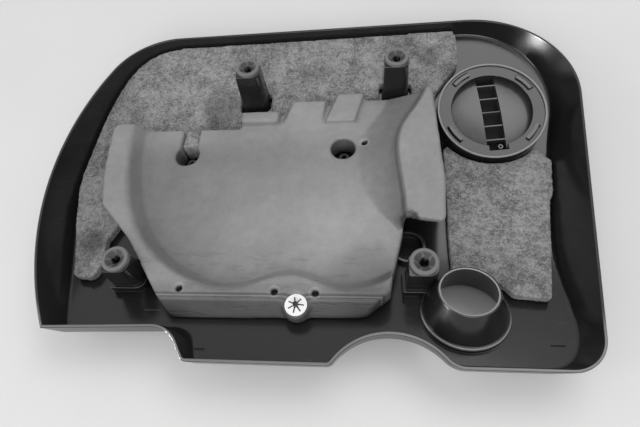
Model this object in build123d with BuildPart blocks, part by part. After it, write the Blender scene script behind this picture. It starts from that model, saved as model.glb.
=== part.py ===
from build123d import *
from math import cos, degrees, radians, sin, sqrt
import os

# Car engine cover lying on its outer face: +X to the right, +Y to the back, +Z up.
# The origin is on the table under the middle of the cover, all sizes are in millimetres.

# Panel and skirt
wall = 2.8
rim_height = 50.0
edge_radius = 6.0
rim_round = 0.9
flat_front = 45.0
flat_back = 25.0
front_bend = 250.0
front_slope = 17.0
back_bend = 260.0
back_slope = 11.0
steepest_panel = 25.0

# Plan of the rim, seen from above
left_reach = 276.5
left_bulge_y = 0.0
front_left_x = 231.0
front_left_drop = 3.5
back_left_x = 219.0
back_left_y = 190.0
back_right_x = 296.75
back_right_y = 202.5
front_right_x = 246.0
front_y = 200.0
step_x = 95.5
step_run = 17.5
step_depth = 29.0
notch_x = 80.0
notch_half_width = 49.0
notch_depth = 26.5
back_left_radius = 85.0
back_right_radius = 105.0
front_right_radius = 30.0
front_right_foot_radius = 88.0
step_low_radius = 7.5
step_high_radius = 27.0
notch_left_radius = 7.5
notch_right_radius = 22.0

# How far each side of the skirt leans in between the rim and the table
left_back_lean = 12.0
left_lean = 5.0
left_front_lean = 33.0
right_back_lean = 20.0
right_front_lean = 23.0
back_lean = 4.0
front_lean = 4.0
step_lean = 30.0

# Grommet towers
tower_width = 26.0
tower_front = 12.5
tower_back = 5.5
tower_draft = 0.035
tower_wall = 2.6
tower_corner = 9.0
tower_edge = 1.5
seat_plate = 3.0
plinth_step = 2.2
plinth_height = 9.0
rib_wall = 2.4
rib_length = 40.0
back_tip = 71.0
front_tip = 56.0
tower_places = {
    "back_left": (-70.0, 110.5, back_tip),
    "back_right": (92.0, 118.0, back_tip),
    "front_left": (-172.0, -111.0, front_tip),
    "front_right": (110.0, -112.0, front_tip),
}

# Rubber ball-socket grommets
grommet_radius = 12.7
grommet_neck_radius = 8.6
grommet_lip = 4.0
grommet_round = 1.6
grommet_skirt = 4.0
grommet_depth = 13.0
funnel_radius = 9.6
funnel_depth = 4.0
throat_radius = 4.0
throat_length = 6.0
ball_radius = 5.0
neck_gap = 0.3

# Badge seat and badge
seat_x = 194.5
seat_y = 83.5
seat_radius = 57.5
seat_height = 24.0
seat_wall = 2.5
seat_bead = 1.4
seat_bead_width = 2.2
seat_opening_radius = 43.0
seat_notch = 5.0
badge_gap = 0.3
badge_recess = 7.0
badge_plate = 2.6
badge_rim = 3.0
lobe_top = 20.5
lobe_edge = 15.0
channel_width = 20.0
channel_length = 92.0
channel_floor = 8.0
channel_turn = 5.0
badge_rib_count = 5
badge_rib_pitch = 16.6
badge_rib = 1.3
badge_rib_height = 10.5
post_x = 4.0
post_y = -41.0
post_radius = 2.6
post_bore = 1.2
post_height = 9.0
hook_angles = (128.0, 215.0, 325.0, 42.0)
hook_span = 24.0
hook_wall = 2.2
hook_radius = 48.5
hook_barb = 1.4
hook_rise = 2.0
latch_gap = 0.1
slot_gap = 0.6
slot_room = 2.0

# Filler collar
collar_x = 146.0
collar_y = -147.0
collar_base_radius = 39.5
collar_top_radius = 26.0
collar_height = 36.0
collar_wall = 2.4
collar_bore_radius = 33.5
collar_foot_radius = 38.8
collar_foot_height = 8.0
collar_foot_round = 0.8

# Foam fixings
boss_places = ((-138.0, 26.0), (34.5, 31.0))
boss_radius = 5.6
boss_bore = 2.6
boss_height = 14.0
pin_x = -2.0
pin_y = -147.0
pin_radius = 2.5
pin_proud = 2.0
ring_rib_x = 100.0
ring_rib_y = -76.0
ring_rib_radius = 17.0
ring_rib_height = 10.0

# Longer than the cover in every direction
reach = 400.0

# Felt pads: corners in plan with their radii, the skirt trims what lies past it
felt_thickness = 10.0
felt_margin = 2.6
felt_gap = 0.2
felt_clear = 2.5
felt_tab_front = 39.0
felt_tab_back = 63.0
felt_tab_drop = 3.5
felt_left_corners = (
    (-reach, 45, 0),
    (-268, 20, 0),
    (-266, -8, 0),
    (-256, -53, 0),
    (-239, -100, 0),
    (-233, -115, 9),
    (-212, -117, 7),
    (-208, -99, 7),
    (-214, -70, 10),
    (-200, -40, 20),
    (-200, 42, 0),
    (-60, 45, 0),
    (-30, 75, 0),
    (100, 78, 0),
    (128, 82, 0),
    (139, 112, 0),
    (165, 148, 12),
    (165, 184, 12),
    (157, 200, 6),
    (157, reach, 0),
    (-reach, reach, 0),
)
felt_right_corners = (
    (142, 40, 0),
    (138.5, -119, 0),
    (183, -121, 6),
    (189, -131, 5),
    (221, -134.5, 5),
    (234, -81, 0),
    (243, -24, 4),
    (251.5, -12, 4),
    (253, 24, 4),
    (seat_x, seat_y, 0),
)

# Foam block: corners in plan with their radii
foam_gap = 0.3
foam_rim = 46.0
foam_pocket = 31.0
foam_shoulder = 42.0
foam_left_run = 12.0
foam_right_edge_run = 3.0
foam_right_run = 40.0
foam_back_y = 61.0
foam_ledge_front_y = 62.5
foam_ledge_y = 77.0
foam_ramp_back_y = 92.0
foam_right_back_y = 98.0
foam_tongue_y = 103.0
foam_ridge_y = -141.0
foam_toe_y = -156.5
foam_toe_height = 27.0
foam_hole_radius = 13.2
foam_notch_width = 19.0
foam_ledge_rise = 10.0
foam_ramp_y = 58.0
foam_ramp_rise = 9.0
foam_tongue_front_y = 64.0
foam_tongue_rise = 6.0
foam_wing_x = 97.0
foam_wing_y = -50.0
foam_wing_thickness = 8.0
foam_pit_radius = 3.2
foam_pit_depth = 9.0
foam_pits = (
    (57.5, 37.0, foam_pocket),
    (-111.0, -134.0, foam_rim),
    (-22.0, -136.0, foam_rim),
    (15.0, -137.0, foam_rim),
)
nut_seat = 41.0
nut_pad_radius = 12.5
foam_corners = (
    (-226, foam_back_y, 8),
    (-221, 0, 200),
    (-212, -43.5, 14),
    (-173, -83, 40),
    (-120.5, foam_toe_y, 14),
    (60, foam_toe_y + 3, 10),
    (82, -133, 5),
    (84, -116, 4),
    (97, -60, 4),
    (134, -65, 5),
    (137, -20, 60),
    (131.5, 102, 4),
    (119, 102, 3),
    (111, foam_right_back_y, 5),
    (60, foam_right_back_y, 2),
    (57, foam_tongue_y, 2),
    (27, foam_tongue_y, 2),
    (23, foam_ramp_back_y, 2),
    (-22, foam_ramp_back_y, 6),
    (-37, foam_ledge_y, 4),
    (-80, foam_ledge_y, 3),
    (-82, foam_back_y, 3),
)

# Foam pocket: points on its edge, each with the share of the wall's run that draws it in
pocket_past_y = foam_tongue_y + foam_rim
pocket_left_edge = (
    (-204, pocket_past_y, 1, 0),
    (-197, 10, 1, 0),
    (-184, -42, 1, 0.5),
    (-143, -102, 0.7, 0.7),
    (-104, -126, 0.3, 1),
    (-67, -135, 0, 1),
    (-5, -121, 0, 1),
    (38, -134, 0, 1),
    (72, -127, 0, 1),
    (110, -100, 0, 1),
)
pocket_right_edge = (
    (96, -60, -0.25, 0),
    (93.5, -11, -1, 0),
    (95.5, 46, -1, 0),
    (112, 76, -1, 0),
    (121, pocket_past_y, -1, 0),
)
foam_ledge_corners = (
    (-80, foam_ledge_front_y),
    (-37, foam_ledge_front_y),
    (-37, foam_ledge_y),
    (-80, foam_ledge_y),
)
foam_ramp_corners = (
    (-38, foam_ramp_y),
    (9, foam_ramp_y),
    (15, foam_ramp_back_y),
    (-22, foam_ramp_back_y),
)
foam_tongue_corners = (
    (14, foam_tongue_front_y),
    (47, foam_tongue_front_y),
    (57, foam_tongue_y),
    (27, foam_tongue_y),
)

# Push nut
nut_radius = 10.0
nut_thickness = 0.9
nut_dome = 1.4
nut_flat_radius = 7.4
nut_slits = 7
nut_slit_width = 1.3
nut_gap = 0.15


def on_slope(x, y):
    """Plane on the outer face of the panel at a place on its front or back slope."""
    if y < 0:
        run, bend, slope, side = -y - flat_front, front_bend, radians(front_slope), -1
    else:
        run, bend, slope, side = y - flat_back, back_bend, radians(back_slope), 1
    rise = bend * (1 - cos(slope)) + (run - bend * sin(slope)) * sin(slope) / cos(slope)
    normal = (0, -side * sin(slope), cos(slope))
    return Plane(origin=(x, y, rise), x_dir=(1, 0, 0), z_dir=normal)


def above_panel(lift):
    """All the space above the arched panel, measured square to its outer face."""
    with BuildPart() as space:
        with BuildSketch(Plane.YZ):
            with BuildLine():
                flat = Line((-flat_front, lift), (flat_back, lift))
                back = JernArc(flat @ 1, flat % 1, back_bend - lift, back_slope)
                back_end = Line(back @ 1, (back @ 1) + (back % 1) * reach)
                front = JernArc(flat @ 0, (flat % 0) * -1, front_bend - lift, -front_slope)
                front_end = Line(front @ 1, (front @ 1) + (front % 1) * reach)
                Polyline(
                    back_end @ 1,
                    ((back_end @ 1).X, reach),
                    ((front_end @ 1).X, reach),
                    front_end @ 1,
                )
            make_face()
        extrude(amount=reach, both=True)
    return space.part


def rounded_plan(corners):
    """Closed plan through corners given as x, y and the radius of the corner."""
    with BuildSketch() as plan:
        with BuildLine():
            Polyline(*[(x, y) for x, y, radius in corners], close=True)
        make_face()
        for x, y, radius in corners:
            if radius:
                fillet(plan.vertices().sort_by_distance((x, y))[0], radius)
    return plan.sketch


def skirt_outline(lean, inset):
    """Plan of the skirt: lean is 0 at the rim and 1 at the table, inset moves it inwards."""
    front = -front_y + front_lean * lean
    step = front + step_depth
    front_left = (-front_left_x + left_front_lean * lean, step - front_left_drop)
    left_middle = (-left_reach + left_lean * lean, left_bulge_y)
    back_left = (-back_left_x + left_back_lean * lean, back_left_y - back_lean * lean)
    back_right = (back_right_x - right_back_lean * lean, back_right_y - back_lean * lean)
    front_right = (front_right_x - right_front_lean * lean, front)
    notch_right = (notch_x + notch_half_width, front)
    notch_top = (notch_x, front + notch_depth)
    notch_left = (notch_x - notch_half_width, front)
    step_low = (-step_x + step_lean * lean, front)
    step_high = (-step_x - step_run + step_lean * lean, step)
    front_right_round = front_right_radius + (front_right_foot_radius - front_right_radius) * lean
    rounds = (
        (back_left, back_left_radius),
        (back_right, back_right_radius),
        (front_right, front_right_round),
        (notch_right, notch_right_radius),
        (notch_left, notch_left_radius),
        (step_low, step_low_radius),
        (step_high, step_high_radius),
    )
    with BuildSketch() as outline:
        with BuildLine():
            ThreePointArc(front_left, left_middle, back_left)
            Polyline(back_left, back_right, front_right, notch_right)
            ThreePointArc(notch_right, notch_top, notch_left)
            Polyline(notch_left, step_low, step_high, front_left)
        make_face()
        for corner, radius in rounds:
            fillet(outline.vertices().sort_by_distance(corner)[0], radius)
        if inset:
            offset(amount=-inset, mode=Mode.REPLACE)
    return outline.sketch


def dish(inset, lift, radius):
    """Solid between the skirt, the arched panel and the rim plane, rounded along the panel's edge."""
    foot = skirt_outline(1, inset)
    rim = skirt_outline(0, inset)
    with BuildPart() as block:
        with BuildSketch(Plane.XY):
            add(foot)
        with BuildSketch(Plane.XY.offset(rim_height)):
            add(rim)
        loft(ruled=True)
        add(above_panel(lift), mode=Mode.INTERSECT)
        underside = block.faces().filter_by(lambda face: face.normal_at().Z < -cos(radians(steepest_panel)))
        counts = {}
        for face in underside:
            for edge in face.edges():
                counts.setdefault(hash(edge), []).append(edge)
        outer = [edges[0] for edges in counts.values() if len(edges) == 1]
        fillet(outer, radius)
    return block.part


def tower_section(grow):
    """Plan of a tower about its grommet: square at the front left, rounded at the front right."""
    half = tower_width / 2 + grow
    front = -tower_front - grow
    with BuildSketch() as section:
        with Locations((0, (tower_back + front) / 2)):
            Rectangle(2 * half, tower_back - front)
        fillet(section.vertices().sort_by_distance((half, front))[0], tower_corner)
        fillet(section.vertices().sort_by_distance((-half, front))[0], tower_edge)
    return section.sketch


def tower(x, y, tip):
    """Channel open at the back, with a forked seat plate on top for its grommet."""
    base = tower_section(tower_draft * tip)
    top = tower_section(0)
    with BuildPart() as post:
        with BuildSketch(Plane((x, y, 0))):
            add(base)
        with BuildSketch(Plane((x, y, tip))):
            add(top)
        loft(ruled=True)
        with BuildSketch(Plane((x, y, 0))):
            with Locations((0, tower_wall)):
                Rectangle(tower_width - 2 * tower_wall, 2 * tower_front)
        extrude(amount=tip - seat_plate, mode=Mode.SUBTRACT)
        with BuildSketch(Plane((x, y, tip))):
            Circle(grommet_neck_radius + neck_gap)
        extrude(amount=-seat_plate, mode=Mode.SUBTRACT)
        add(above_panel(wall / 2), mode=Mode.INTERSECT)
    return post.part


def plinth(x, y, tip):
    """Low step round the foot of a front tower."""
    outline = tower_section(tower_draft * tip + plinth_step)
    with BuildPart() as foot:
        with BuildSketch(Plane((x, y, 0))):
            add(outline)
            with Locations((0, tower_wall)):
                Rectangle(tower_width - 2 * tower_wall, 2 * tower_front, mode=Mode.SUBTRACT)
        extrude(amount=reach)
        add(above_panel(wall / 2), mode=Mode.INTERSECT)
        add(above_panel(wall + plinth_height), mode=Mode.SUBTRACT)
    return foot.part


def back_rib(x, y, tip):
    """Gusset that runs back from the inside of a front tower to the panel."""
    top = tip - seat_plate - grommet_depth
    start = y - tower_front
    with BuildPart() as rib:
        with BuildSketch(Plane.YZ.offset(x - rib_wall / 2)):
            with BuildLine():
                Polyline(
                    (start, 0),
                    (start, top),
                    (y + tower_back, top),
                    (start + rib_length, 0),
                    close=True,
                )
            make_face()
        extrude(amount=rib_wall)
        add(above_panel(wall / 2), mode=Mode.INTERSECT)
    return rib.part


def badge_seat():
    """Raised ring for the badge with its bead, before the recess is cut."""
    plane = on_slope(seat_x, seat_y)
    with BuildPart() as ring:
        with BuildSketch(plane.offset(-seat_radius)):
            Circle(seat_radius)
        extrude(amount=seat_radius + seat_height)
        with BuildSketch(plane.offset(seat_height)):
            Circle(seat_radius)
            Circle(seat_radius - seat_bead_width, mode=Mode.SUBTRACT)
        extrude(amount=seat_bead)
        add(above_panel(0), mode=Mode.INTERSECT)
    return ring.part


def clip_sectors(inner, outer, span):
    """Ring sectors at the snap hooks' angles."""
    with BuildSketch() as sectors:
        for angle in hook_angles:
            with BuildLine():
                near = CenterArc((0, 0), inner, angle - span / 2, span)
                far = CenterArc((0, 0), outer, angle - span / 2, span)
                Line(near @ 0, far @ 0)
                Line(near @ 1, far @ 1)
            make_face()
    return sectors.sketch


def badge_space():
    """What is cut from the shell at the badge: recess, opening and clip slots."""
    plane = on_slope(seat_x, seat_y)
    slot_span = hook_span + degrees(2 * slot_gap / hook_radius)
    slots = clip_sectors(hook_radius - slot_gap, hook_radius + hook_wall + slot_room, slot_span)
    notch_reach = seat_opening_radius + seat_notch
    with BuildPart() as space:
        with BuildSketch(plane.offset(-seat_radius)):
            Circle(seat_radius - seat_wall)
        extrude(amount=seat_radius + seat_height - seat_wall)
        with BuildSketch(plane):
            Circle(seat_opening_radius)
            add(slots)
        extrude(amount=seat_height + seat_wall)
        with BuildSketch(plane.rotated((0, 0, channel_turn))):
            with Locations((0, -notch_reach / 2)):
                Rectangle(channel_width, notch_reach)
        extrude(amount=seat_height + seat_wall)
    return space.part


def collar_cone(base, top, past):
    """Frustum of the filler collar from the outer face to its top, run past both by a length."""
    slant = (top - base) / collar_height
    with BuildPart() as cone:
        with BuildSketch(on_slope(collar_x, collar_y).offset(-past)):
            Circle(base - slant * past)
        with BuildSketch(on_slope(collar_x, collar_y).offset(collar_height + past)):
            Circle(top + slant * past)
        loft()
    return cone.part


def collar_foot():
    """Round step on the panel that the filler collar stands on."""
    with BuildPart() as foot:
        with BuildSketch(on_slope(collar_x, collar_y).offset(wall / 2)):
            Circle(collar_foot_radius)
        extrude(amount=collar_foot_height - wall / 2)
        fillet(foot.faces().sort_by(Axis.Z)[-1].edges(), collar_foot_round)
    return foot.part


def foam_fixings():
    """Locating bosses, the push nut's pin and the ring rib that stand on the panel."""
    with BuildPart() as fixings:
        with BuildSketch():
            with Locations(*boss_places):
                Circle(boss_radius)
                Circle(boss_bore, mode=Mode.SUBTRACT)
        extrude(amount=boss_height)
        with BuildSketch():
            with Locations((ring_rib_x, ring_rib_y)):
                Circle(ring_rib_radius)
                Circle(ring_rib_radius - rib_wall, mode=Mode.SUBTRACT)
        extrude(amount=wall + ring_rib_height)
        with BuildSketch():
            with Locations((pin_x, pin_y)):
                Circle(pin_radius)
        extrude(amount=nut_seat + nut_thickness + nut_dome + pin_proud)
        add(above_panel(wall / 2), mode=Mode.INTERSECT)
    return fixings.part


def grommet(x, y, tip):
    """Rubber ball socket seated in the fork of a tower: lip, neck, bulb and a funnel to the socket."""
    bulb_radius = min(tower_width / 2, tower_front) - tower_wall - neck_gap
    throat_top = grommet_lip - funnel_depth
    throat_end = throat_top - throat_length
    ball_centre = throat_end - sqrt(ball_radius**2 - throat_radius**2)
    ball_end = sqrt(ball_radius**2 - (grommet_depth + ball_centre) ** 2)
    with BuildPart() as socket:
        with BuildSketch(Plane(origin=(x, y, tip), x_dir=(1, 0, 0), z_dir=(0, -1, 0))) as section:
            with BuildLine():
                funnel = Polyline(
                    (throat_radius, throat_end),
                    (throat_radius, throat_top),
                    (funnel_radius, grommet_lip),
                    (grommet_radius, grommet_lip),
                    (grommet_radius, 0),
                    (grommet_neck_radius, 0),
                    (grommet_neck_radius, -seat_plate),
                    (bulb_radius, -seat_plate),
                    (bulb_radius, -seat_plate - grommet_skirt),
                    (bulb_radius - grommet_skirt / 2, -grommet_depth),
                    (ball_end, -grommet_depth),
                )
                ThreePointArc(funnel @ 1, (ball_radius, ball_centre), funnel @ 0)
            make_face()
            fillet(section.vertices().sort_by_distance((grommet_radius, grommet_lip))[0], grommet_round)
        revolve(axis=Axis((x, y, 0), (0, 0, 1)))
    return socket.part


def badge_trough():
    """Deep channel across the badge, cut off by its domed back, with the ribs and the post in it."""
    plane = on_slope(seat_x, seat_y)
    section = Plane(origin=plane.origin, x_dir=plane.x_dir, z_dir=-plane.y_dir)
    floor = plane.rotated((0, 0, channel_turn)).offset(channel_floor)
    inner = seat_radius - seat_wall - badge_gap - badge_rim
    bottom = channel_floor - badge_plate
    with BuildPart() as trough:
        with BuildSketch(section):
            with BuildLine():
                crown = TangentArc((0, lobe_top), (inner, lobe_edge), tangent=(1, 0))
                Polyline(crown @ 1, (inner, bottom), (0, bottom), crown @ 0)
            make_face()
        revolve(axis=Axis(plane.origin, plane.z_dir))
        with BuildSketch(floor):
            Rectangle(channel_width + 2 * badge_plate, channel_length + 2 * badge_plate)
        extrude(amount=seat_height, both=True, mode=Mode.INTERSECT)
        with BuildSketch(floor):
            Rectangle(channel_width, channel_length)
        extrude(amount=seat_height, mode=Mode.SUBTRACT)
        with BuildSketch(floor):
            with GridLocations(1, badge_rib_pitch, 1, badge_rib_count):
                Rectangle(channel_width, badge_rib)
        extrude(amount=badge_rib_height)
        with BuildSketch(floor):
            with Locations((post_x, post_y)):
                Circle(post_radius)
                Circle(post_bore, mode=Mode.SUBTRACT)
        extrude(amount=post_height)
    return trough.part


def badge():
    """Badge plate with a domed back in a rim ring, a channel across it and four snap hooks."""
    plane = on_slope(seat_x, seat_y)
    section = Plane(origin=plane.origin, x_dir=plane.x_dir, z_dir=-plane.y_dir)
    outer = seat_radius - seat_wall - badge_gap
    inner = outer - badge_rim
    rim_top = seat_height - seat_wall
    latch = seat_height + latch_gap
    stems = clip_sectors(hook_radius, hook_radius + hook_wall, hook_span)
    barbs = clip_sectors(hook_radius - hook_barb, hook_radius + hook_wall, hook_span)
    with BuildPart() as plate:
        with BuildSketch(section):
            with BuildLine():
                crown = TangentArc((0, lobe_top), (inner, lobe_edge), tangent=(1, 0))
                rim = Polyline(
                    crown @ 1,
                    (inner, rim_top),
                    (outer, rim_top),
                    (outer, badge_recess),
                    (inner, badge_recess),
                    (inner, lobe_edge - badge_plate),
                )
                face = TangentArc((0, lobe_top - badge_plate), rim @ 1, tangent=(1, 0))
                Line(face @ 0, crown @ 0)
            make_face()
        revolve(axis=Axis(plane.origin, plane.z_dir))
        with BuildSketch(plane.rotated((0, 0, channel_turn)).offset(channel_floor)):
            Rectangle(channel_width, channel_length)
        extrude(amount=seat_height, mode=Mode.SUBTRACT)
        add(badge_trough())
        with BuildSketch(plane.offset(lobe_edge)):
            add(stems)
        extrude(amount=latch - lobe_edge)
        with BuildSketch(plane.offset(latch)):
            add(barbs)
        extrude(amount=hook_rise)
    return plate.part


def standing(clear):
    """Columns round all that stands high on the panel, each grown by a clearance."""
    with BuildPart() as columns:
        for x, y, tip in tower_places.values():
            with BuildSketch(Plane((x, y, 0))):
                add(tower_section(tower_draft * tip + clear))
            extrude(amount=reach)
        with BuildSketch(on_slope(seat_x, seat_y)):
            Circle(seat_radius + clear)
        extrude(amount=seat_radius, both=True)
        with BuildSketch(on_slope(collar_x, collar_y)):
            Circle(collar_base_radius + clear)
        extrude(amount=collar_base_radius, both=True)
    return columns.part


def felt_pad(corners):
    """Felt laid on the panel, trimmed by the skirt and cut round what stands on the panel."""
    plan = rounded_plan(corners)
    with BuildPart() as pad:
        add(dish(wall + felt_margin, wall + felt_gap, felt_gap * 2))
        with BuildSketch():
            add(plan)
        extrude(amount=reach, mode=Mode.INTERSECT)
        add(above_panel(wall + felt_gap + felt_thickness), mode=Mode.SUBTRACT)
        add(standing(felt_clear), mode=Mode.SUBTRACT)
    return pad.part


def felt_tab():
    """Part of the left felt pad that stands up in the foam's notch."""
    with BuildPart() as tab:
        with BuildSketch():
            with Locations((boss_places[0][0], (felt_tab_front + felt_tab_back) / 2)):
                Rectangle(foam_notch_width - 2 * foam_gap, felt_tab_back - felt_tab_front)
        extrude(amount=foam_pocket - felt_tab_drop)
        add(above_panel(wall + felt_gap), mode=Mode.INTERSECT)
    return tab.part


def drawn_in(edge, run):
    """Points of a pocket edge, moved by the run of the wall below it."""
    return [(x + run * share_x, y + run * share_y) for x, y, share_x, share_y in edge]


def pocket_plan(left_run, right_run):
    """Plan of the foam's pocket, drawn in by the run of its sloping walls."""
    with BuildSketch() as plan:
        with BuildLine():
            left = Spline(*drawn_in(pocket_left_edge, left_run))
            right = Spline(*drawn_in(pocket_right_edge, right_run))
            Line(left @ 1, right @ 0)
            Line(right @ 1, left @ 0)
        make_face()
    return plan.sketch


def foam_back_forms():
    """Ledge, ramp and tongue that rise from the pocket floor at the foam's back edge."""
    with BuildPart() as forms:
        with BuildSketch(Plane.YZ):
            with BuildLine():
                Polyline(
                    (foam_ramp_y, foam_pocket),
                    (foam_ramp_back_y, foam_pocket + foam_ramp_rise),
                    (foam_ramp_back_y, 0),
                    (foam_ramp_y, 0),
                    close=True,
                )
            make_face()
        extrude(amount=reach, both=True)
        with BuildSketch():
            Polygon(*foam_ramp_corners, align=None)
        extrude(amount=reach, mode=Mode.INTERSECT)
        with BuildSketch():
            Polygon(*foam_ledge_corners, align=None)
        extrude(amount=foam_pocket + foam_ledge_rise)
        with BuildSketch():
            Polygon(*foam_tongue_corners, align=None)
        extrude(amount=foam_pocket + foam_tongue_rise)
    return forms.part


def felt_room():
    """Space that the left felt pad takes up under the foam, with a gap all round."""
    plan = rounded_plan(felt_left_corners)
    with BuildPart() as room:
        with BuildSketch():
            add(plan)
            offset(amount=foam_gap)
        extrude(amount=reach)
        add(above_panel(wall + felt_gap + felt_thickness + foam_gap), mode=Mode.SUBTRACT)
    return room.part


def foam():
    """Moulded foam block with its pocket, front slope, nut pad, holes and back edge forms."""
    outline = rounded_plan(foam_corners)
    shoulder_share = (foam_rim - foam_shoulder) / (foam_rim - foam_pocket)
    pocket_top = pocket_plan(0, 0)
    pocket_shoulder = pocket_plan(foam_left_run * shoulder_share, foam_right_edge_run)
    pocket_floor = pocket_plan(foam_left_run, foam_right_run)
    with BuildPart() as block:
        with BuildSketch():
            add(outline)
        extrude(amount=foam_rim)
        with BuildSketch(Plane.XY.offset(foam_rim)):
            add(pocket_top)
        with BuildSketch(Plane.XY.offset(foam_shoulder)):
            add(pocket_shoulder)
        with BuildSketch(Plane.XY.offset(foam_pocket)):
            add(pocket_floor)
        loft(ruled=True, mode=Mode.SUBTRACT)
        add(foam_back_forms())
        with BuildSketch(Plane.YZ):
            with BuildLine():
                Polyline(
                    (foam_ridge_y, foam_rim),
                    (foam_toe_y, foam_toe_height),
                    (-reach, foam_toe_height),
                    (-reach, reach),
                    (foam_ridge_y, reach),
                    close=True,
                )
            make_face()
        extrude(amount=reach, both=True, mode=Mode.SUBTRACT)
        with BuildSketch(Plane((pin_x, pin_y, 0))):
            Circle(nut_pad_radius)
        extrude(amount=nut_seat)
        with BuildSketch(Plane((pin_x, pin_y, nut_seat))):
            Circle(nut_pad_radius)
        extrude(amount=reach, mode=Mode.SUBTRACT)
        with BuildSketch():
            with Locations((pin_x, pin_y)):
                Circle(pin_radius + foam_gap)
            with Locations(*boss_places):
                Circle(foam_hole_radius)
            with Locations((boss_places[0][0], boss_places[0][1] + reach / 2)):
                Rectangle(foam_notch_width, reach)
        extrude(amount=reach, mode=Mode.SUBTRACT)
        for x, y, surface in foam_pits:
            with BuildSketch(Plane((x, y, surface - foam_pit_depth))):
                Circle(foam_pit_radius)
            extrude(amount=reach, mode=Mode.SUBTRACT)
        with BuildSketch(Plane((ring_rib_x, ring_rib_y, 0))):
            Circle(ring_rib_radius + felt_clear)
        extrude(amount=wall + ring_rib_height + felt_clear, mode=Mode.SUBTRACT)
        with BuildSketch(Plane.YZ.offset(foam_wing_x)):
            with BuildLine():
                Polyline(
                    (-reach, 0),
                    (-reach, foam_rim - foam_wing_thickness),
                    (foam_wing_y, foam_rim - foam_wing_thickness),
                    (0, 0),
                    close=True,
                )
            make_face()
        extrude(amount=reach, mode=Mode.SUBTRACT)
        add(standing(felt_clear), mode=Mode.SUBTRACT)
        add(above_panel(wall + foam_gap), mode=Mode.INTERSECT)
        add(felt_room(), mode=Mode.SUBTRACT)
    return block.part


def star_nut():
    """Push nut: a flat ring with a coned middle, slit into teeth that grip the pin."""
    seat = Plane(origin=(pin_x, pin_y, nut_seat), x_dir=(1, 0, 0), z_dir=(0, -1, 0))
    bore = pin_radius + nut_gap
    with BuildPart() as nut:
        with BuildSketch(seat):
            with BuildLine():
                Polyline(
                    (nut_radius, 0),
                    (nut_radius, nut_thickness),
                    (nut_flat_radius, nut_thickness),
                    (bore, nut_thickness + nut_dome),
                    (bore, nut_dome),
                    (nut_flat_radius, 0),
                    close=True,
                )
            make_face()
        revolve(axis=Axis((pin_x, pin_y, 0), (0, 0, 1)))
        with BuildSketch(Plane((pin_x, pin_y, nut_seat))):
            with PolarLocations(nut_flat_radius / 2, nut_slits):
                Rectangle(nut_flat_radius, nut_slit_width)
        extrude(amount=nut_thickness + nut_dome, mode=Mode.SUBTRACT)
    return nut.part


os.makedirs("parts", exist_ok=True)

# The moulding
with BuildPart() as cover_shell:
    add(dish(0, 0, edge_radius))
    add(dish(wall, wall, edge_radius - wall), mode=Mode.SUBTRACT)
    rim_face = cover_shell.faces().sort_by(Axis.Z)[-1]
    fillet(rim_face.edges(), rim_round)
    for place in tower_places.values():
        add(tower(*place))
    for name in ("front_left", "front_right"):
        add(plinth(*tower_places[name]))
        add(back_rib(*tower_places[name]))
    add(badge_seat())
    add(badge_space(), mode=Mode.SUBTRACT)
    add(collar_cone(collar_base_radius, collar_top_radius, 0))
    add(collar_foot())
    add(collar_cone(collar_bore_radius, collar_top_radius - collar_wall, collar_wall), mode=Mode.SUBTRACT)
    add(foam_fixings())
cover_shell.part.label = "cover_shell"
export_step(cover_shell.part, "parts/cover_shell.step")

# Grommets
for name, place in tower_places.items():
    socket = grommet(*place)
    socket.label = "grommet_" + name
    export_step(socket, f"parts/grommet_{name}.step")

# Felt pads
with BuildPart() as felt_pad_left:
    add(felt_pad(felt_left_corners))
    add(felt_tab())
felt_pad_left.part.label = "felt_pad_left"
export_step(felt_pad_left.part, "parts/felt_pad_left.step")

felt_pad_right = felt_pad(felt_right_corners)
felt_pad_right.label = "felt_pad_right"
export_step(felt_pad_right, "parts/felt_pad_right.step")

# Badge
badge_insert = badge()
badge_insert.label = "badge_insert"
export_step(badge_insert, "parts/badge_insert.step")

# Foam block
foam_block = foam()
foam_block.label = "foam_block"
export_step(foam_block, "parts/foam_block.step")

# Push nut
push_nut = star_nut()
push_nut.label = "push_nut"
export_step(push_nut, "parts/push_nut.step")
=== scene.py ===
from math import cos, radians, sin

import bpy
import numpy as np
from mathutils import Matrix, Vector, noise


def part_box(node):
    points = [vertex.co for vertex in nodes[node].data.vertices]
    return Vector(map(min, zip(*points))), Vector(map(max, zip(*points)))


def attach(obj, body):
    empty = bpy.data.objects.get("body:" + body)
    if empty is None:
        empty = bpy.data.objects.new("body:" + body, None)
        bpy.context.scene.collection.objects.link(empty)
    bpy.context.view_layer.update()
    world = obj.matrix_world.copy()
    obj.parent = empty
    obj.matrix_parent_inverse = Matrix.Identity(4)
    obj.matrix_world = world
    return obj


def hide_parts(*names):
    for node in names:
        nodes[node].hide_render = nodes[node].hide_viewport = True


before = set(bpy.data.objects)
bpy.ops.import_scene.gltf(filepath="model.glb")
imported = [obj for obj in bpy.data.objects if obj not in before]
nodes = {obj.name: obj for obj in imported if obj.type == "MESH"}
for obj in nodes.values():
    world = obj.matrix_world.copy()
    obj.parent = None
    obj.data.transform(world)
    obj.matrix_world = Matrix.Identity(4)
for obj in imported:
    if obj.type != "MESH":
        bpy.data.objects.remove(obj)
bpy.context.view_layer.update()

# The frame is in metres, and so are the table, the lights and the camera. Sizes on the cover are in
# millimetres.
mm = 0.001
body = "root"
scene = bpy.context.scene

# Badge seat and filler collar: place of the axis on the outer face and slope there in degrees
seat_place = (194.5, 83.5, 6.5)
seat_slope = 11.0
collar_place = (146.0, -147.0, 19.8)
collar_slope = -17.0

# Rim of the skirt: rise of its top edge, a height just above it, and where its front stretch begins, along
# which the rim carries a painted highlight.
# Such spans, here and below, run from where a finish starts to show to where it is full.
rim_rise = (48.9, 49.6)
rim_limit = 50.3
rim_highlight_front = (-145.0, -175.0)
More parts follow.
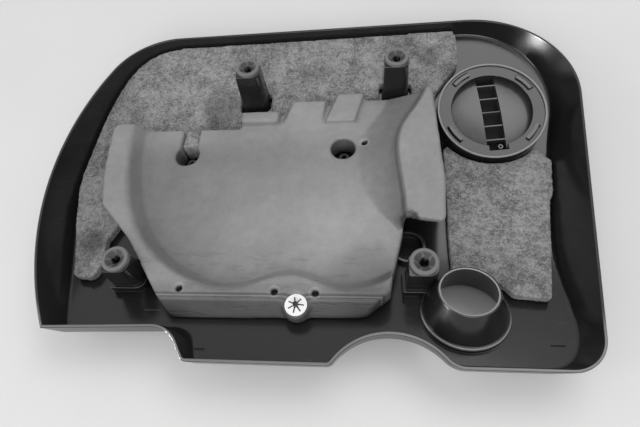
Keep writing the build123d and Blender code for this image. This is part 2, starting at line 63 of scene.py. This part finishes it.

# Bead of the badge seat, which carries a painted highlight as a pale ring, and the dome of the badge with
# its sunk channel, square to the slope
bead_radius = 56.4
bead_highlight_edge = (1.3, 0.7)
bead_height = 24.2
badge_top = 20.5
badge_edge = 15.0
badge_radius = 51.7
# Depths below the dome over which painted shade darkens the channel
channel_shade_depth = (1.2, 3.5)

# Top lip and foot of the collar, square to the slope, where painted highlights run round the lip and round
# the foot's edge, fading in towards the front
lip_highlight_radius = 25.0
lip_rise = (35.5, 35.9)
foot_radius = 38.3
foot_highlight_edge = (0.9, 0.3)
foot_height = 7.0
foot_band = (1.4, 0.9)
foot_highlight_front = (-138.0, -160.0)
worn_reach = 1.2

# Moulding marks on the front slope: two dark slits, a pale line at the left that is a painted highlight on
# a small moulded rib, and how far their ends and sides fade
slit_places = ((217.0, -174.9), (-87.0, -186.0))
slit_size = (13.0, 2.4)
rib_highlight_place = (-141.5, -148.0)
rib_highlight_size = (17.0, 1.6)
mark_fade = (0.8, 0.5)

# Dark patches on the felt: place and reach. The first, left of the back-left tower, is that tower's cast
# shadow painted in; the other two are stains.
felt_stains_and_tower_shadow = ((-113.0, 94.0, 34.0), (133.0, 160.0, 20.0), (-228.0, -72.0, 18.0))

# Foam: parting grooves, the front ridge that they run along, its front wall, darkened with painted shade,
# the creased end of its dish, and the slope at its right, where painted shade deepens towards the right
parting_grooves = (-138.5, -142.0)
groove_edge = (1.3, 0.4)
ridge_rise = (44.0, 45.2)
ridge_front = (-124.0, -134.0)
shaded_wall_front = (-141.0, -145.0)
crease_front = (-70.0, -100.0)
right_shade_span = (50.0, 90.0)

# Foam: small pits with painted shade in them and their pale lips, holes for the bosses with painted shade
# in them, the middle of its dish, painted pale as light with painted shade towards its walls, the shaded
# front lobe and the torn corner of its wing
pit_places = ((57.5, 37.0), (-111.0, -134.0), (-22.0, -136.0), (15.0, -137.0))
pit_edge = (3.6, 2.6)
pit_lip_radius = 4.8
pit_lip_edge = (1.5, 0.5)
hole_places = ((-138.0, 26.0), (34.5, 31.0))
hole_edge = (13.8, 12.8)
dish_middle = (25.0, -65.0)
dish_reach = (170.0, 120.0)
dish_depth = (44.5, 40.5)
dish_back = (58.0, 15.0)
lobe_place = (60.0, -118.0)
lobe_reach = (48.0, 20.0)
torn_place = (100.0, -62.0)
tear_reach = 10.0
tear_core = 6.0
tear_raggedness = 8.0
tear_depth = 2.0

# Rubber sockets: folds round each, painted pale as highlights, its lip, painted pale as light, its throat,
# painted dark as shade, and the reach of the star's points of that shade there
socket_folds = 5
socket_lip = (8.4, 9.8)
socket_throat = (4.6, 3.4)
star_reach = 0.9

# Skins of the soft pieces: width of a cell and passes of smoothing
felt_cell = 1.4
felt_passes = 6
foam_cell = 1.6
foam_passes = 10


class Wire:
    """A socket of a node tree, for plain maths."""

    def __init__(self, wiring, socket):
        self.wiring = wiring
        self.socket = socket

    def __add__(self, other):
        return self.wiring.maths("ADD", self, other)

    def __radd__(self, other):
        return self.wiring.maths("ADD", other, self)

    def __sub__(self, other):
        return self.wiring.maths("SUBTRACT", self, other)

    def __rsub__(self, other):
        return self.wiring.maths("SUBTRACT", other, self)

    def __mul__(self, other):
        return self.wiring.maths("MULTIPLY", self, other)

    def __rmul__(self, other):
        return self.wiring.maths("MULTIPLY", other, self)

    def __pow__(self, other):
        return self.wiring.maths("POWER", self, other)

    def __rpow__(self, other):
        return self.wiring.maths("POWER", other, self)

    def __abs__(self):
        return self.wiring.maths("ABSOLUTE", self)

    def __lt__(self, other):
        return self.wiring.maths("LESS_THAN", self, other)

    def __gt__(self, other):
        return self.wiring.maths("GREATER_THAN", self, other)


class Wiring:
    """A node tree, and how nodes are added to it."""

    def __init__(self, tree):
        self.tree = tree

    def node(self, kind, settings=None, sockets=None, output=0):
        """A new node, set up first and then filled. Gives one of its outputs."""
        made = self.tree.nodes.new(kind)
        for name, value in (settings or {}).items():
            setattr(made, name, value)
        for key, value in (sockets or {}).items():
            self.join(made.inputs[key], value)
        return Wire(self, made.outputs[output])

    def join(self, socket, value):
        """Links a wire to a socket, or sets the socket to a plain value."""
        if isinstance(value, Wire):
            self.tree.links.new(value.socket, socket)
        else:
            socket.default_value = value

    def maths(self, operation, *values):
        """A Math node on wires and numbers."""
        return self.node("ShaderNodeMath", {"operation": operation}, dict(enumerate(values)))


class Finish(Wiring):
    """One material: its wiring and the shader that its looks feed."""

    def __init__(self, name, **constants):
        self.material = bpy.data.materials.new(name)
        self.material.use_nodes = True
        super().__init__(self.material.node_tree)
        self.shader = self.tree.nodes["Principled BSDF"]
        for word, value in constants.items():
            self.feed(word.replace("_", " ").title().replace("Ior", "IOR"), value)
        self.place = self.node("ShaderNodeTexCoord", output="Object")

    def feed(self, name, value):
        """Fills one socket of the shader."""
        self.join(self.shader.inputs[name], value)

    def cloud(self, size, detail=2.0, roughness=0.5, place=None):
        """Noise from 0 to 1 whose lumps are about size millimetres wide."""
        sockets = {"Vector": place or self.place, "Scale": 1 / (size * mm), "Detail": detail}
        sockets["Roughness"] = roughness
        return self.node("ShaderNodeTexNoise", {}, sockets, "Fac")

    def step(self, value, start, end, low=0.0, high=1.0):
        """Value carried smoothly from low at start to high at end."""
        sockets = {"Value": value, "From Min": start, "From Max": end, "To Min": low, "To Max": high}
        return self.node("ShaderNodeMapRange", {"interpolation_type": "SMOOTHSTEP"}, sockets, "Result")

    def fade(self, value, span, low=0.0, high=1.0):
        """A step between two lengths in millimetres."""
        return self.step(value, span[0] * mm, span[1] * mm, low, high)

    def stretch(self, along):
        """Object place, scaled along its axes."""
        sockets = {"Vector": self.place, "Scale": along}
        return self.node("ShaderNodeMapping", {}, sockets, "Vector")

    def axis(self, name):
        """One coordinate of the object place, in metres."""
        return self.node("ShaderNodeSeparateXYZ", {}, {"Vector": self.place}, name)

    def facing(self, name):
        """How far the surface faces along one axis: Z gives 1 on a flat floor and 0 on a wall."""
        normal = self.node("ShaderNodeTexCoord", output="Normal")
        return self.node("ShaderNodeSeparateXYZ", {}, {"Vector": normal}, name)

    def worn(self, reach):
        """Mask of 1 on sharp outer edges and 0 on flats, within reach millimetres of the edge."""
        settings = {"inside": True, "only_local": True, "samples": 8}
        sockets = {"Distance": reach * mm}
        return self.step(self.node("ShaderNodeAmbientOcclusion", settings, sockets, "AO"), 0.85, 0.5)

    def bump(self, height, depth, edge_round=None):
        """Relief of depth millimetres from a height of 0 to 1, over edges rounded by some millimetres."""
        sockets = {"Height": height, "Distance": depth * mm, "Strength": 1.0}
        if edge_round:
            sockets["Normal"] = self.node("ShaderNodeBevel", {"samples": 8}, {"Radius": edge_round * mm})
        self.feed("Normal", self.node("ShaderNodeBump", {}, sockets, "Normal"))


def about_axis(finish, place, slope):
    """Distance from an axis square to the panel, and height along it."""
    across = finish.axis("X") - place[0] * mm
    along = finish.axis("Y") - place[1] * mm
    above = finish.axis("Z") - place[2] * mm
    up_slope = along * cos(radians(slope)) + above * sin(radians(slope))
    lift = above * cos(radians(slope)) - along * sin(radians(slope))
    return (across * across + up_slope * up_slope) ** 0.5, lift


def distance(finish, place):
    """Distance from an upright axis."""
    across = finish.axis("X") - place[0] * mm
    along = finish.axis("Y") - place[1] * mm
    return (across * across + along * along) ** 0.5


def mark(finish, place, size):
    """Mask of a short straight mark on a floor that faces up."""
    mask = finish.facing("Z") > 0.8
    for name, middle, length, soft in zip("XY", place, size, mark_fade):
        apart = abs(finish.axis(name) - middle * mm)
        mask = finish.fade(apart, (length / 2, length / 2 - soft)) * mask
    return mask


def shell_finish():
    """Black satin moulding: faint flow clouds, fine grain, dust, scuffs, worn edges and moulding marks,
    with painted highlights along the rim's front, round the badge seat's bead, on the collar's lip and
    foot and on a small rib.
    """
    finish = Finish("satin_black_moulding", specular_ior_level=0.5)
    cloud = finish.cloud(60, 3)
    grain = finish.cloud(0.8, 2)
    dust = finish.step(finish.cloud(5, 6, 0.7), 0.60, 0.8)
    scuff = finish.step(finish.cloud(5, 3, 0.6, finish.stretch((0.12, 1.0, 1.0))), 0.66, 0.74)
    along = finish.axis("Y")
    height = finish.axis("Z")
    rim_band = finish.fade(height, rim_rise) * (height < rim_limit * mm)
    rim = rim_band * finish.step(finish.facing("Z"), 0.7, 0.9)
    # Painted highlight along the rim's front stretch
    painted_rim_highlight = rim * finish.fade(along, rim_highlight_front)
    radius, lift = about_axis(finish, seat_place, seat_slope)
    # Painted highlight: a pale ring on the badge seat's bead
    bead = finish.fade(abs(radius - bead_radius * mm), bead_highlight_edge) * (lift > bead_height * mm)
    radius, lift = about_axis(finish, collar_place, collar_slope)
    # Painted highlights on the collar's top lip and round its foot at the front
    lip = finish.fade(lift, lip_rise) * (radius < lip_highlight_radius * mm)
    foot = finish.fade(abs(radius - foot_radius * mm), foot_highlight_edge) * finish.fade(along, foot_highlight_front)
    foot = foot * finish.fade(abs(lift - foot_height * mm), foot_band)
    slit = 0
    for place in slit_places:
        slit = mark(finish, place, slit_size) + slit
    # Painted highlight: a pale line on a small moulded rib
    painted_rib_highlight = mark(finish, rib_highlight_place, rib_highlight_size)
    worn = finish.worn(worn_reach) * (1 - rim_band)
    # Painted highlights on the rim's front, the bead, the collar's lip and foot and the small rib, plus
    # real wear on outer edges
    edge = 0.12 * painted_rim_highlight + 0.12 * bead + 0.2 * lip + 0.2 * foot + 0.06 * worn + 0.04 * painted_rib_highlight
    tone = 0.009 + 0.004 * cloud + 0.010 * dust + 0.008 * scuff + edge
    finish.feed("Base Color", tone * (1 - 0.9 * slit))
    smooth = 0.13 + 0.08 * cloud + 0.04 * grain + 0.12 * dust + 0.1 * scuff
    finish.feed("Roughness", smooth + 0.4 * (rim - painted_rim_highlight) + 0.7 * slit)
    finish.bump(0.6 * cloud + 0.02 * grain, 0.25, edge_round=1.0)
    return finish.material


def badge_finish():
    """Gloss black moulding of the badge plate, duller down in its channel, where painted shade darkens it.
    """
    finish = Finish("gloss_black_moulding", specular_ior_level=0.6)
    radius, lift = about_axis(finish, seat_place, seat_slope)
    dome = badge_top * mm - radius * radius * ((badge_top - badge_edge) / badge_radius**2 / mm)
    # Painted shade: the channel's floor below the dome is darkened
    deep = finish.fade(dome - lift, channel_shade_depth) * finish.step(finish.facing("Z"), -0.3, -0.1)
    cloud = finish.cloud(25, 3)
    smear = finish.cloud(8, 4, 0.6, finish.stretch((1.0, 0.3, 1.0)))
    finish.feed("Base Color", (0.020 + 0.012 * cloud + 0.02 * smear) * (1 - 0.9 * deep))
    finish.feed("Roughness", 0.14 + 0.10 * cloud + 0.12 * smear + 0.6 * deep)
    finish.bump(cloud, 0.25)
    return finish.material


def felt_finish():
    """Needled felt: blotches, mottling, crossing fibres, stains and the back-left tower's shadow painted
    in.
    """
    finish = Finish("needled_felt", specular_ior_level=0.15, sheen_weight=0.2, sheen_roughness=0.6)
    blotch = finish.cloud(26, 3)
    mottle = finish.cloud(6, 4, 0.7)
    fleck = finish.cloud(2.0, 3, 0.65)
    fibre_across = finish.cloud(1.1, 2, 0.5, finish.stretch((0.22, 1.0, 1.0)))
    fibre_along = finish.cloud(1.1, 2, 0.5, finish.stretch((1.0, 0.22, 1.0)))
    fibre = finish.step(finish.maths("MAXIMUM", fibre_across, fibre_along), 0.56, 0.72)
    tone = 0.27 * blotch + 0.33 * mottle + 0.40 * fleck
    free_of_stain_and_shadow = 1
    # The first patch is the back-left tower's cast shadow, painted in; the others are stains
    for across, along, reach in felt_stains_and_tower_shadow:
        apart = distance(finish, (across, along)) + 0.5 * reach * mm * (blotch - 0.5)
        free_of_stain_and_shadow = (1 - 0.45 * finish.fade(apart, (reach, 0.3 * reach))) * free_of_stain_and_shadow
    finish.feed("Base Color", (finish.step(tone, 0.37, 0.62, 0.055, 0.26) + 0.07 * fibre) * free_of_stain_and_shadow)
    finish.feed("Roughness", 0.9 + 0.1 * fleck)
    finish.bump(0.45 * mottle + 0.45 * fleck + 0.3 * fibre, 1.3)
    return finish.material


def foam_finish():
    """Moulded foam with a smooth skin: soft clouds, pores, wrinkles, parting grooves and a torn corner.

    The skin is painted palest in the middle of the dish, as painted light, and darker towards its walls,
    as painted shade.
    """
    finish = Finish("foam_skin", specular_ior_level=0.3)
    across = finish.axis("X")
    along = finish.axis("Y")
    height = finish.axis("Z")
    cloud = finish.cloud(45, 3)
    skin = finish.cloud(9, 4, 0.6)
    pore = finish.step(finish.cloud(1.3, 1), 0.66, 0.78)
    wrinkle = finish.cloud(6, 3, 0.6, finish.stretch((0.2, 1.0, 1.0)))
    crease = finish.step(wrinkle, 0.56, 0.66) * finish.fade(along, crease_front)
    groove = 0
    for place in parting_grooves:
        groove = finish.fade(abs(along - place * mm), groove_edge) + groove
    # Painted shade: the front wall and the sides that face left or right are darkened by the way they face
    front = finish.fade(along, shaded_wall_front)
    sideways = finish.facing("X")
    right_slope_shade = finish.step(sideways, -0.05, -0.35) * finish.fade(across, right_shade_span, 0.35, 1.25)
    slope = 0.08 * finish.step(sideways, 0.05, 0.35) + 0.36 * right_slope_shade
    slope = slope + 0.2 * finish.step(sideways, -0.45, -0.75)
    # Painted shade darkens the pits
    pit_shade = 0
    pit_lip = 0
    for place in pit_places:
        apart = distance(finish, place)
        pit_shade = finish.fade(apart, pit_edge) + pit_shade
        pit_lip = finish.fade(abs(apart - pit_lip_radius * mm), pit_lip_edge) + pit_lip
    # Painted shade darkens the holes for the bosses
    hole_shade = 0
    for place in hole_places:
        hole_shade = finish.fade(distance(finish, place), hole_edge) + hole_shade
    # Painted light and shade: pale in the middle of the dish, darker towards its walls
    dish = finish.fade(height, dish_depth) * finish.fade(along, dish_back)
    wide = (across - dish_middle[0] * mm) * (1 / dish_reach[0] / mm)
    deep = (along - dish_middle[1] * mm) * (1 / dish_reach[1] / mm)
    away = (wide * wide + deep * deep) ** 0.5
    shade = 1 + dish * (0.24 - 0.5 * finish.maths("MINIMUM", away, 1.08))
    ridge = finish.fade(height, ridge_rise) * finish.fade(along, ridge_front)
    lobe = finish.fade(distance(finish, lobe_place), lobe_reach)
    ragged = distance(finish, torn_place) + tear_raggedness * mm * (skin - 0.5)
    torn = finish.fade(ragged, (tear_reach, tear_core))
    tone = 0.125 + 0.085 * cloud + 0.07 * skin - 0.05 * pore - 0.015 * crease + 0.06 * pit_lip
    tone = tone * (1 - 0.45 * groove) * (1 - 0.62 * front) * (1 - slope)
    tone = tone * (1 - 0.75 * pit_shade) * (1 - 0.55 * hole_shade) * (1 - 0.25 * ridge)
    finish.feed("Base Color", tone * shade * (1 - 0.28 * lobe) * (1 - 0.6 * torn))
    finish.feed("Roughness", 0.46 + 0.15 * skin + 0.3 * torn)
    crumb = finish.cloud(2.5, 3)
    finish.bump(0.5 * skin - 0.3 * pore - 0.8 * crease - 1.6 * groove + 2 * torn * crumb, 0.45)
    return finish.material


def rubber_finish(node):
    """Matt rubber of one socket: a lip painted pale as light, a creased funnel with painted highlights on
    its folds, and painted shade in a dark star at the throat.
    """
    low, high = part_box(node)
    finish = Finish(f"matt_rubber_{node}", specular_ior_level=0.3)
    across = finish.axis("X") - (low[0] + high[0]) / 2
    along = finish.axis("Y") - (low[1] + high[1]) / 2
    radius = (across * across + along * along) ** 0.5
    angle = finish.maths("ARCTAN2", along, across)
    bloom = finish.cloud(4, 4, 0.6)
    grain = finish.cloud(0.6, 2)
    folds = finish.maths("COSINE", angle * socket_folds + 7 * bloom)
    # Painted light makes the lip and the folds pale, and painted shade makes the throat dark in a star
    lip = finish.fade(radius, socket_lip)
    crease = finish.step(folds, 0.2, 0.9) * (1 - lip)
    star = finish.fade(radius - star_reach * mm * folds, socket_throat)
    tone = 0.03 + 0.03 * bloom + 0.085 * lip + 0.045 * crease
    finish.feed("Base Color", tone * (1 - 0.93 * star))
    finish.feed("Roughness", 0.5 + 0.2 * bloom)
    finish.bump(0.15 * grain + 0.2 * bloom + crease, 0.5)
    return finish.material


def nut_finish():
    """White coated spring steel."""
    finish = Finish("white_coated_steel", specular_ior_level=0.5)
    cloud = finish.cloud(3, 3)
    finish.feed("Base Color", 0.64 + 0.08 * cloud)
    finish.feed("Roughness", 0.35 + 0.15 * cloud)
    finish.bump(cloud, 0.05)
    return finish.material


def table_finish():
    """Pale table top."""
    finish = Finish("pale_table", specular_ior_level=0.0)
    cloud = finish.cloud(180, 3)
    finish.feed("Base Color", 0.56 + 0.04 * cloud)
    finish.feed("Roughness", 0.6 + 0.1 * cloud)
    return finish.material


def apply_modifiers(piece):
    """Turns a piece's modifiers into its mesh."""
    graph = bpy.context.evaluated_depsgraph_get()
    mesh = bpy.data.meshes.new_from_object(piece.evaluated_get(graph))
    piece.modifiers.clear()
    piece.data = mesh


def soft_copy(node, name, cell, passes):
    """A soft piece in the shape of a node: its skin in small even cells with its edges rounded."""
    piece = bpy.data.objects.new(name, nodes[node].data.copy())
    scene.collection.objects.link(piece)
    skin = piece.modifiers.new("skin", "REMESH")
    skin.mode = "VOXEL"
    skin.voxel_size = cell * mm
    soften = piece.modifiers.new("soften", "SMOOTH")
    soften.factor = 0.5
    soften.iterations = passes
    apply_modifiers(piece)
    piece.data.shade_smooth()
    return piece


def points_and_normals(mesh):
    """Places and normals of a mesh's points, as arrays."""
    count = len(mesh.vertices)
    places = np.empty(count * 3)
    normals = np.empty(count * 3, np.float32)
    mesh.vertices.foreach_get("co", places)
    mesh.vertex_normals.foreach_get("vector", normals)
    return places.reshape(count, 3), normals.reshape(count, 3)


def lumps(places, size, seed):
    """Smooth noise from -1 to 1 at each place, with lumps about size millimetres wide."""
    scale = 1 / (size * mm)
    shift = Vector((seed * 7.3, seed * 3.1, seed * 5.7))
    return np.array([noise.noise(Vector(place) * scale + shift) for place in places])


def displace(piece, amount):
    """Moves each point of a piece along its normal by an amount in millimetres."""
    places, normals = points_and_normals(piece.data)
    moved = places + normals * (amount * mm)[:, None]
    piece.data.vertices.foreach_set("co", moved.ravel())
    piece.data.update()


def dress(piece, material):
    """Gives a piece its material."""
    piece.data.materials.clear()
    piece.data.materials.append(material)


def felt_pads():
    """Felt pads with lumpy tops and soft cut edges."""
    finish = felt_finish()
    for seed, side in enumerate(("left", "right")):
        pad = soft_copy(f"felt_pad_{side}", f"felt_{side}", felt_cell, felt_passes)
        places, _ = points_and_normals(pad.data)
        fuzz = 0.25 * lumps(places, 3, seed) + 0.35 * lumps(places, 9, seed + 4) - 0.3
        displace(pad, fuzz)
        dress(pad, finish)
        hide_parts(f"felt_pad_{side}")
        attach(pad, body)


def foam_block():
    """Foam block with soft edges, an uneven skin and a torn corner."""
    block = soft_copy("foam_block", "foam", foam_cell, foam_passes)
    places, _ = points_and_normals(block.data)
    displace(block, 0.3 * lumps(places, 30, 1) + 0.1 * lumps(places, 8, 2) - 0.1)
    places, _ = points_and_normals(block.data)
    apart = np.hypot(places[:, 0] - torn_place[0] * mm, places[:, 1] - torn_place[1] * mm)
    torn = np.clip((tear_reach * mm - apart) / (tear_reach * mm), 0, 1)
    displace(block, torn * (tear_depth * lumps(places, 3, 3) - tear_depth))
    dress(block, foam_finish())
    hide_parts("foam_block")
    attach(block, body)


def rigid_nodes():
    """Finishes of the pieces that show as they are in the frame."""
    finishes = {
        "cover_shell": shell_finish(),
        "badge_insert": badge_finish(),
        "push_nut": nut_finish(),
    }
    for name in nodes:
        if name.startswith("grommet"):
            finishes[name] = rubber_finish(name)
    for name, finish in finishes.items():
        nodes[name].data.materials.clear()
        nodes[name].data.materials.append(finish)


def table():
    """Pale table top under the cover."""
    half = 3.0
    drop = 0.1 * mm
    mesh = bpy.data.meshes.new("table_top")
    corners = [(-half, -half, -drop), (half, -half, -drop), (half, half, -drop), (-half, half, -drop)]
    mesh.from_pydata(corners, [], [(0, 1, 2, 3)])
    top = bpy.data.objects.new("table_top", mesh)
    scene.collection.objects.link(top)
    mesh.materials.append(table_finish())


def light_panel(name, place, target, width, height, power):
    """Soft rectangular light that faces a target, with its power in watts."""
    lamp = bpy.data.lights.new(name, "AREA")
    lamp.shape = "RECTANGLE"
    lamp.size = width
    lamp.size_y = height
    lamp.energy = power
    panel = bpy.data.objects.new(name, lamp)
    panel.location = place
    panel.rotation_euler = (Vector(target) - Vector(place)).to_track_quat("-Z", "Y").to_euler()
    scene.collection.objects.link(panel)
    return panel


def studio_light():
    """Pale room that is brighter overhead, soft panels above and in front, and strips at the left.

    The low strip shows only in the shell's gloss, as a window does on the skirt's corner.
    """
    world = bpy.data.worlds.new("pale_room")
    world.use_nodes = True
    room = Wiring(world.node_tree)
    direction = room.node("ShaderNodeTexCoord", output="Generated")
    climb = room.node("ShaderNodeSeparateXYZ", {}, {"Vector": direction}, "Z")
    glow = {"Value": climb, "From Min": 0.1, "From Max": 0.8, "To Min": 0.55, "To Max": 0.85}
    backdrop = room.tree.nodes["Background"]
    room.join(backdrop.inputs["Color"], (1, 1, 1, 1))
    room.join(backdrop.inputs["Strength"], room.node("ShaderNodeMapRange", {}, glow, "Result"))
    scene.world = world
    light_panel("key", (0.72, 0.82, 2.0), (0.1, 0.0, 0), 1.5, 1.15, 14)
    light_panel("front_fill", (0.1, -1.7, 1.1), (0.1, -0.2, 0), 1.4, 0.8, 19)
    light_panel("left_strip", (-1.9, -0.6, 0.9), (0.2, 0.1, 0.03), 0.5, 1.2, 12)
    gloss = light_panel("gloss_strip", (-1.85, -0.74, 0.24), (0.25, 0.16, 0.03), 0.8, 0.4, 110)
    gloss.visible_diffuse = False
    glossy_pieces = bpy.data.collections.new("glossy_pieces")
    glossy_pieces.objects.link(nodes["cover_shell"])
    gloss.light_linking.receiver_collection = glossy_pieces


def photo_camera():
    """Camera at the photograph's place, from the axes that the photograph's fit gave."""
    camera = bpy.data.cameras.new("photo_camera")
    camera.sensor_fit = "HORIZONTAL"
    camera.sensor_width = 36.0
    camera.lens = 27.0
    viewer = bpy.data.objects.new("photo_camera", camera)
    place = (0.0667, -0.2788, 0.447)
    right = Vector((0.99381, 0.04902, -0.09968))
    up = Vector((0.00525, 0.87561, 0.48299))
    back = right.cross(up)
    turn = Matrix((right, up, back)).transposed().to_4x4()
    viewer.matrix_world = Matrix.Translation(place) @ turn
    scene.collection.objects.link(viewer)
    scene.camera = viewer


felt_pads()
foam_block()
rigid_nodes()
table()
studio_light()
photo_camera()
scene.view_settings.view_transform = "Standard"
